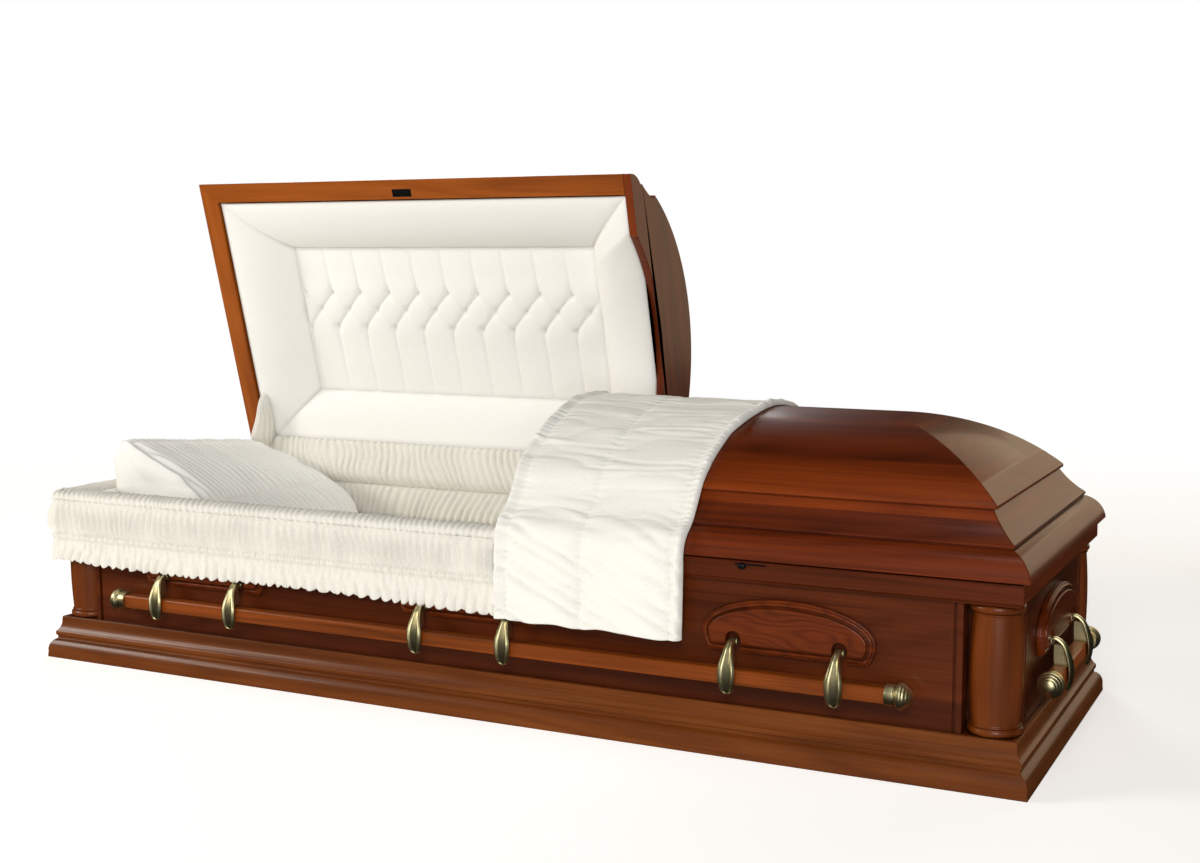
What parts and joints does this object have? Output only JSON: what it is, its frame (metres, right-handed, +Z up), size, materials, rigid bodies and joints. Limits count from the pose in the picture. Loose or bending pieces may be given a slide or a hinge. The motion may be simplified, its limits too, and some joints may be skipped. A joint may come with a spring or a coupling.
{
  "type": "funeral casket",
  "caption": "Half-couch wooden casket with turned corner columns, hinged crowned lids, swinging bar handles and a shirred cloth interior, shown with its head lid open.",
  "frame": {"origin": "centre of the plinth's underside", "axes": "+X along the length towards the foot end, -Y towards the front long side, +Z up"},
  "size_m": [2.149, 0.8822, 1.0372],
  "materials": {
    "lid_wood": "satin lacquered stained poplar",
    "rail_wood": "satin lacquered stained poplar",
    "moulding_wood": "satin lacquered stained poplar",
    "panel_wood": "satin lacquered stained poplar",
    "bar_wood": "satin lacquered stained hardwood",
    "antique_brass": "brushed and lacquered antique plating",
    "ivory_cloth": "matte crepe, shirred and tufted"
  },
  "bodies": {
    "box": {"bottom_board": "panel_wood", "side_panel_front": "panel_wood", "side_panel_back": "panel_wood", "end_panel_head": "panel_wood", "end_panel_foot": "panel_wood", "base_moulding_front": "moulding_wood", "base_moulding_back": "moulding_wood", "base_moulding_head": "moulding_wood", "base_moulding_foot": "moulding_wood", "top_rail": "rail_wood", "corner_column_foot_back": "rail_wood", "corner_column_head_back": "rail_wood", "corner_column_head_front": "rail_wood", "corner_column_foot_front": "rail_wood", "ear_front_1": "panel_wood", "ear_front_2": "panel_wood", "ear_front_3": "panel_wood", "ear_back_1": "panel_wood", "ear_back_2": "panel_wood", "ear_back_3": "panel_wood", "ear_head_1": "panel_wood", "ear_foot_1": "panel_wood", "box_lining": "ivory_cloth", "mattress": "ivory_cloth", "pillow": "ivory_cloth", "rim_skirt": "ivory_cloth"},
    "head_lid": {"head_lid": "lid_wood", "head_lid_end_board": "lid_wood", "head_lid_lining": "ivory_cloth"},
    "foot_lid": {"foot_lid": "lid_wood", "foot_lid_end_board": "lid_wood", "overlay": "ivory_cloth"},
    "handle_front": {"handle_bar_front": "bar_wood", "handle_arm_front_1": "antique_brass", "handle_arm_front_2": "antique_brass", "handle_arm_front_3": "antique_brass", "handle_arm_front_4": "antique_brass", "handle_arm_front_5": "antique_brass", "handle_arm_front_6": "antique_brass", "handle_tip_front_1": "antique_brass", "handle_tip_front_2": "antique_brass"},
    "handle_back": {"handle_bar_back": "bar_wood", "handle_arm_back_1": "antique_brass", "handle_arm_back_2": "antique_brass", "handle_arm_back_3": "antique_brass", "handle_arm_back_4": "antique_brass", "handle_arm_back_5": "antique_brass", "handle_arm_back_6": "antique_brass", "handle_tip_back_1": "antique_brass", "handle_tip_back_2": "antique_brass"},
    "handle_head": {"handle_bar_head": "bar_wood", "handle_arm_head_1": "antique_brass", "handle_arm_head_2": "antique_brass", "handle_tip_head_1": "antique_brass", "handle_tip_head_2": "antique_brass"},
    "handle_foot": {"handle_bar_foot": "bar_wood", "handle_arm_foot_1": "antique_brass", "handle_arm_foot_2": "antique_brass", "handle_tip_foot_1": "antique_brass", "handle_tip_foot_2": "antique_brass"}
  },
  "joints": [
    {"name": "head_lid_hinge", "type": "hinge", "parent": "box", "child": "head_lid", "pos_m": [0, 0.3515, 0.349], "axis": [-1, 0, 0], "range_deg": [-74.9, 0]},
    {"name": "foot_lid_hinge", "type": "hinge", "parent": "box", "child": "foot_lid", "pos_m": [0, 0.3515, 0.349], "axis": [-1, 0, 0], "range_deg": [0, 74.9]},
    {"name": "handle_front_hinge", "type": "hinge", "parent": "box", "child": "handle_front", "pos_m": [0, -0.341, 0.202], "axis": [-1, 0, 0], "range_deg": [0, 50]},
    {"name": "handle_back_hinge", "type": "hinge", "parent": "box", "child": "handle_back", "pos_m": [0, 0.341, 0.202], "axis": [1, 0, 0], "range_deg": [0, 50]},
    {"name": "handle_head_hinge", "type": "hinge", "parent": "box", "child": "handle_head", "pos_m": [-1.0305, 0, 0.202], "axis": [0, 1, 0], "range_deg": [0, 50]},
    {"name": "handle_foot_hinge", "type": "hinge", "parent": "box", "child": "handle_foot", "pos_m": [1.0305, 0, 0.202], "axis": [0, -1, 0], "range_deg": [0, 50]}
  ]
}
